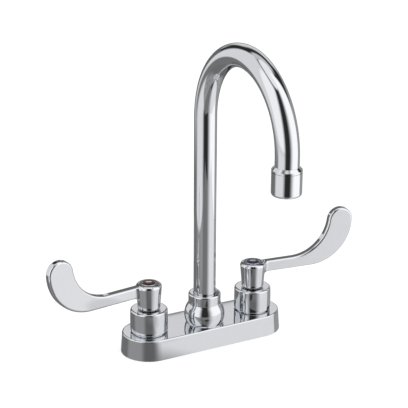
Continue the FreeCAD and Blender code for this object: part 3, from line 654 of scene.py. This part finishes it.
@dataclass
class Floor:
    """Pale round floor; polished metal sees a small table in its place.

    The table lets a share of the world through and adds a faint glow. The share is smaller on
    the left, the glow is stronger at the front, and both fade over a ramp. A dark patch in
    front of the spout's bell gives the ball its dark middle.
    """

    radius: float = 2400.0
    drop: float = 0.2
    corners: int = 96
    grey: str = "#A8A8A8"
    glow: float = 0.66
    table_middle: tuple[float, float] = (10.0, -130.0)
    table_half: tuple[float, float] = (290.0, 312.0)
    table_edge: tuple[float, float] = (0.95, 1.05)
    slant: tuple[float, float] = (1.0, -0.5)
    share_ramp: tuple[float, float] = (-45.0, 5.0)
    share: tuple[float, float] = (0.22, 0.60)
    front_ramp: tuple[float, float] = (-110.0, -70.0)
    front_glow: tuple[float, float] = (0.21, 0.15)
    patch_middle: tuple[float, float] = (-21.0, -90.0)
    patch_half: tuple[float, float] = (21.0, 28.0)
    patch_edge: tuple[float, float] = (0.7, 1.1)
    patch_glow: float = 0.03

    def build(self) -> None:
        """Lay the floor, which keeps a faint shadow and can be looked through from below."""
        angle = np.linspace(0, 2 * np.pi, self.corners, endpoint=False)
        rim = np.stack([np.cos(angle), np.sin(angle), np.zeros_like(angle)], -1)
        outline = rim * self.radius - np.array([0, 0, self.drop])
        floor = flat_sheet("studio_floor", outline, self.paint())

    @staticmethod
    def from_middle(tree: bpy.types.NodeTree, place: bpy.types.NodeSocket,
                    middle: tuple[float, float],
                    half: tuple[float, float]) -> bpy.types.NodeSocket:
        """Measure a place from a shape's middle, in units of its half-size both ways.

        Args:
            tree: The floor's node tree.
            place: Socket with the place in metres.
            middle: The shape's middle.
            half: The shape's half-size.

        Returns:
            Socket with (place - middle) / half, and 0 for the height.
        """
        offset = add_node(tree, "ShaderNodeVectorMath",
                          {0: place, 1: [v * MM for v in (*middle, 0.0)]},
                          operation="SUBTRACT")
        return add_node(tree, "ShaderNodeVectorMath",
                        {0: offset.outputs["Vector"],
                         1: [1 / (v * MM) for v in half] + [0.0]},
                        operation="MULTIPLY").outputs["Vector"]

    def past_table(self, tree: bpy.types.NodeTree,
                   place: bpy.types.NodeSocket) -> bpy.types.NodeSocket:
        """Mark where the oblong table has ended: 0 on it, 1 past its soft edge."""
        size = add_node(tree, "ShaderNodeVectorMath",
                        {0: self.from_middle(tree, place, self.table_middle, self.table_half)},
                        operation="ABSOLUTE")
        sides = add_node(tree, "ShaderNodeSeparateXYZ", {"Vector": size.outputs["Vector"]})
        away = add_node(tree, "ShaderNodeMath", {0: sides.outputs["X"], 1: sides.outputs["Y"]},
                        operation="MAXIMUM")
        return add_node(tree, "ShaderNodeMapRange",
                        {"Value": away.outputs[0], "From Min": self.table_edge[0],
                         "From Max": self.table_edge[1]},
                        interpolation_type="SMOOTHSTEP").outputs["Result"]

    def table_share(self, tree: bpy.types.NodeTree,
                    place: bpy.types.NodeSocket) -> bpy.types.NodeSocket:
        """Share of the world that the table lets through, on a ramp along the slant."""
        along = add_node(tree, "ShaderNodeVectorMath", {0: place, 1: (*self.slant, 0.0)},
                         operation="DOT_PRODUCT")
        low, high = (v * MM for v in self.share_ramp)
        return add_node(tree, "ShaderNodeMapRange",
                        {"Value": along.outputs["Value"], "From Min": low, "From Max": high,
                         "To Min": self.share[0], "To Max": self.share[1]},
                        interpolation_type="SMOOTHSTEP").outputs["Result"]

    def table_glow(self, tree: bpy.types.NodeTree,
                   place: bpy.types.NodeSocket) -> bpy.types.NodeSocket:
        """Glow of the table: stronger at its front, and almost none in the dark patch."""
        part = add_node(tree, "ShaderNodeSeparateXYZ", {"Vector": place})
        low, high = (v * MM for v in self.front_ramp)
        front = add_node(tree, "ShaderNodeMapRange",
                         {"Value": part.outputs["Y"], "From Min": low, "From Max": high,
                          "To Min": self.front_glow[0], "To Max": self.front_glow[1]},
                         interpolation_type="SMOOTHSTEP")
        radius = add_node(tree, "ShaderNodeVectorMath",
                          {0: self.from_middle(tree, place, self.patch_middle,
                                               self.patch_half)},
                          operation="LENGTH")
        return add_node(tree, "ShaderNodeMapRange",
                        {"Value": radius.outputs["Value"], "From Min": self.patch_edge[0],
                         "From Max": self.patch_edge[1], "To Min": self.patch_glow,
                         "To Max": front.outputs["Result"]},
                        interpolation_type="SMOOTHSTEP").outputs["Result"]

    def paint(self) -> bpy.types.Material:
        """Make the floor's paint.

        Returns:
            White to the camera with a part that takes shadow, the table to polished metal,
            and clear from below.
        """
        made = blank_material("studio_floor")
        tree = made.node_tree
        path = add_node(tree, "ShaderNodeLightPath")
        place = add_node(tree, "ShaderNodeTexCoord").outputs["Object"]
        matt = add_node(tree, "ShaderNodeBsdfDiffuse", {"Color": linear(self.grey)})
        glow = add_node(tree, "ShaderNodeEmission",
                        {"Color": linear("#FFFFFF"), "Strength": self.glow})
        white = add_node(tree, "ShaderNodeAddShader", {0: matt.outputs[0], 1: glow.outputs[0]})
        through = add_node(tree, "ShaderNodeBsdfTransparent",
                           {"Color": self.table_share(tree, place)})
        sheen = add_node(tree, "ShaderNodeEmission",
                         {"Color": linear("#FFFFFF"), "Strength": self.table_glow(tree, place)})
        table = add_node(tree, "ShaderNodeAddShader",
                         {0: through.outputs[0], 1: sheen.outputs[0]})
        clear = add_node(tree, "ShaderNodeBsdfTransparent")
        mirrored = add_node(tree, "ShaderNodeMixShader",
                            {"Fac": self.past_table(tree, place), 1: table.outputs[0],
                             2: clear.outputs[0]})
        by_ray = add_node(tree, "ShaderNodeMixShader",
                          {"Fac": path.outputs["Is Glossy Ray"], 1: white.outputs[0],
                           2: mirrored.outputs[0]})
        under = add_node(tree, "ShaderNodeNewGeometry").outputs["Backfacing"]
        both = add_node(tree, "ShaderNodeMixShader",
                        {"Fac": under, 1: by_ray.outputs[0], 2: clear.outputs[0]})
        add_node(tree, "ShaderNodeOutputMaterial", {"Surface": both.outputs[0]})
        return made


@dataclass
class Cloth:
    """Dark cloth behind the faucet with an open slit, which only polished metal shows.

    The tops of hubs and arms mirror the cloth over the slit, and the rear edge of the base
    mirrors it under the slit; base and bells mirror the light wall through the slit.
    """

    left: float = -80.0
    right: float = 380.0
    behind: float = 250.0
    low: float = 20.0
    high: float = 300.0
    slit: float = 154.6
    slit_open: float = 16.5
    slit_shut: float = 20.5
    level: float = 0.17

    def build(self) -> None:
        """Hang the cloth."""
        corners = np.array([(x, self.behind, z) for x, z in
                            ((self.left, self.low), (self.right, self.low),
                             (self.right, self.high), (self.left, self.high))])
        flag = flat_sheet("studio_flag", corners, self.paint())

    def paint(self) -> bpy.types.Material:
        """Make the cloth's paint.

        Returns:
            Dark to polished metal outside the slit, which has soft edges, and else clear.
        """
        made = blank_material("studio_flag")
        tree = made.node_tree
        path = add_node(tree, "ShaderNodeLightPath")
        clear = add_node(tree, "ShaderNodeBsdfTransparent")
        cloth = add_node(tree, "ShaderNodeEmission",
                         {"Color": linear("#FFFFFF"), "Strength": self.level})
        place = add_node(tree, "ShaderNodeTexCoord").outputs["Object"]
        part = add_node(tree, "ShaderNodeSeparateXYZ", {"Vector": place})
        lift = add_node(tree, "ShaderNodeMath", {0: part.outputs["Z"], 1: self.slit * MM},
                        operation="SUBTRACT")
        away = add_node(tree, "ShaderNodeMath", {0: lift.outputs[0]}, operation="ABSOLUTE")
        edge = add_node(tree, "ShaderNodeMapRange",
                        {"Value": away.outputs[0], "From Min": self.slit_open * MM,
                         "From Max": self.slit_shut * MM,
                         "To Max": path.outputs["Is Glossy Ray"]},
                        interpolation_type="SMOOTHSTEP")
        seen = add_node(tree, "ShaderNodeMixShader",
                        {"Fac": edge.outputs["Result"], 1: clear.outputs[0],
                         2: cloth.outputs[0]})
        add_node(tree, "ShaderNodeOutputMaterial", {"Surface": seen.outputs[0]})
        return made


@dataclass
class Lamp:
    """Broad round lamp over the faucet, for the floor's soft shadow."""

    width: float = 900.0
    watts: float = 4.0
    place: tuple[float, float, float] = (150.0, -350.0, 1300.0)
    target: tuple[float, float, float] = (0.0, 0.0, 100.0)

    def build(self) -> None:
        """Hang the lamp, which polished metal doesn't show."""
        data = bpy.data.lights.new("overhead", "AREA")
        data.shape = "DISK"
        data.size = self.width * MM
        data.energy = self.watts
        lamp = bpy.data.objects.new("overhead", data)
        lamp.location = Vector(self.place) * MM
        aim = (Vector(self.target) - Vector(self.place)) * MM
        lamp.rotation_mode = "QUATERNION"
        lamp.rotation_quaternion = aim.to_track_quat("-Z", "Y")
        lamp.visible_glossy = False
        bpy.context.scene.collection.objects.link(lamp)


@dataclass
class ViewPoint:
    """Where the camera stands: fitted to the picture's ellipses and straight edges."""

    azimuth: float = -28.8
    elevation: float = 20.05
    roll: float = 0.35
    distance: float = 1206.5
    target: tuple[float, float, float] = (1.765, 0.0, 123.48)
    focal_pixels: float = 1430.6
    picture_pixels: float = 408.0
    sensor: float = 36.0
    clip: tuple[float, float] = (50.0, 20000.0)

    def build(self) -> None:
        """Make the camera.

        It looks against back = (sin a cos e, -cos a cos e, sin e) from target + distance *
        back, and its sides are turned by the roll about that line.
        """
        a, e, r = (math.radians(v) for v in (self.azimuth, self.elevation, self.roll))
        back = Vector((math.sin(a) * math.cos(e), -math.cos(a) * math.cos(e), math.sin(e)))
        level = Vector((0, 0, 1)).cross(back).normalized()
        up = back.cross(level)
        right = level * math.cos(r) + up * math.sin(r)
        top = up * math.cos(r) - level * math.sin(r)
        data = bpy.data.cameras.new("camera")
        data.sensor_width = self.sensor
        data.lens = self.sensor * self.focal_pixels / self.picture_pixels
        data.clip_start, data.clip_end = (v * MM for v in self.clip)
        camera = bpy.data.objects.new("camera", data)
        place = (Vector(self.target) + back * self.distance) * MM
        turn = Matrix((right, top, back)).transposed().to_4x4()
        camera.matrix_world = Matrix.Translation(place) @ turn
        bpy.context.scene.collection.objects.link(camera)
        bpy.context.scene.camera = camera


def main() -> None:
    """Load the frame, dress each sub-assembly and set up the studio."""
    logging.basicConfig(level=logging.INFO, format="%(name)s: %(message)s")
    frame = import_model()
    DeckBody().build(frame)
    for side in Side:
        Valve(side).build(frame)
    Spout().build(frame)
    Studio().build()


if __name__ == "__main__":
    main()
